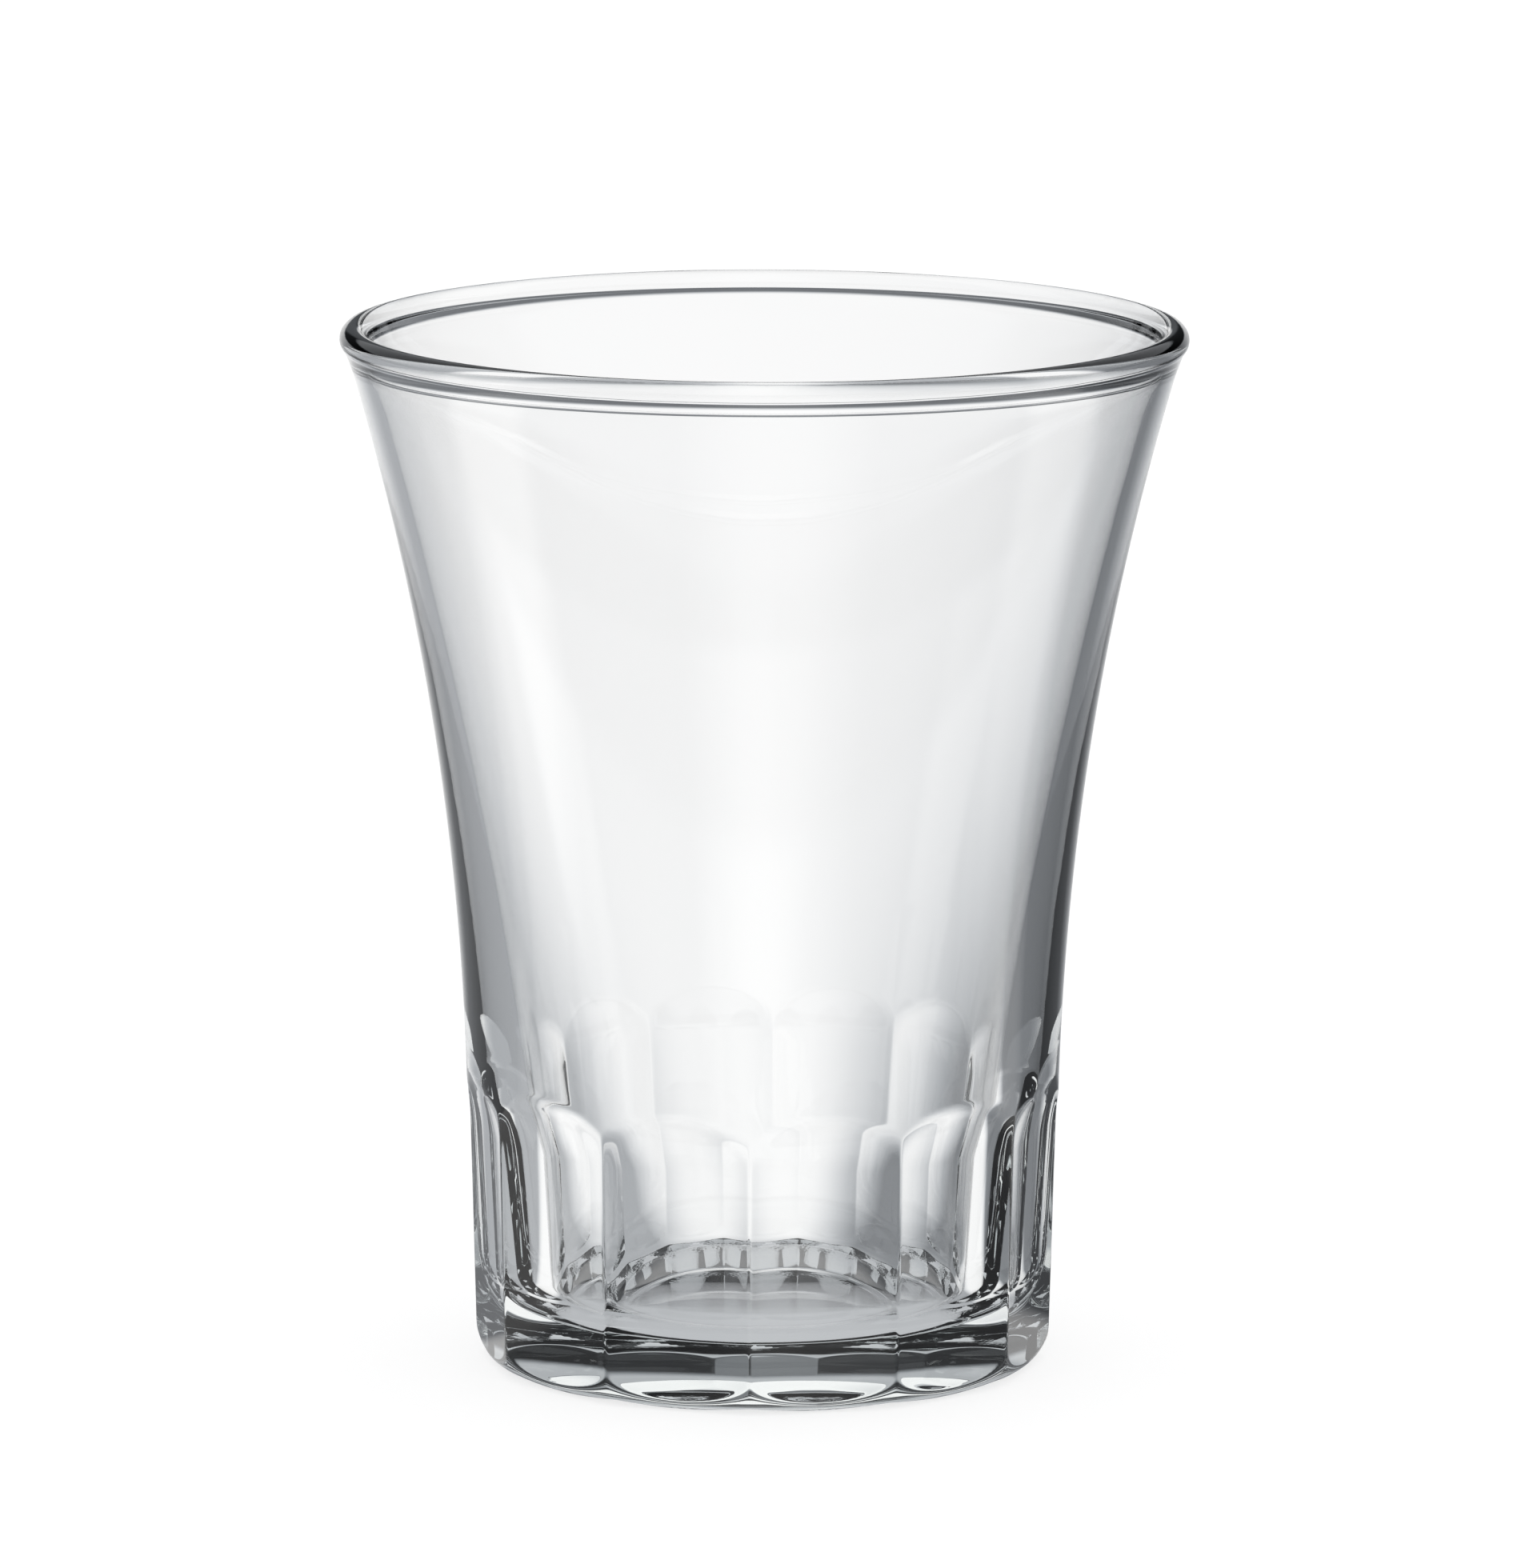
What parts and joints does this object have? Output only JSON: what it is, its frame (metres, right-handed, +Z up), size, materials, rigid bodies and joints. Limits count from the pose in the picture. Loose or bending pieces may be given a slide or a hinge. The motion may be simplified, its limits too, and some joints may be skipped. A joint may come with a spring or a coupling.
{
  "type": "juice glass",
  "caption": "Small pressed tumbler of clear glass with a flared bowl, a rounded rim bead and a heavy foot with arched facets.",
  "frame": {"origin": "middle of the table face, on the axis of the glass", "axes": "+Z up through the mouth along the axis of the glass; +X and +Y are free, and the middle of a facet stands 12.5 degrees from +X"},
  "size_m": [0.0726, 0.0726, 0.09],
  "materials": {
    "clear_glass": "fire-polished clear soda-lime glass"
  },
  "bodies": {
    "root": {"tumbler": "clear_glass"}
  },
  "joints": []
}
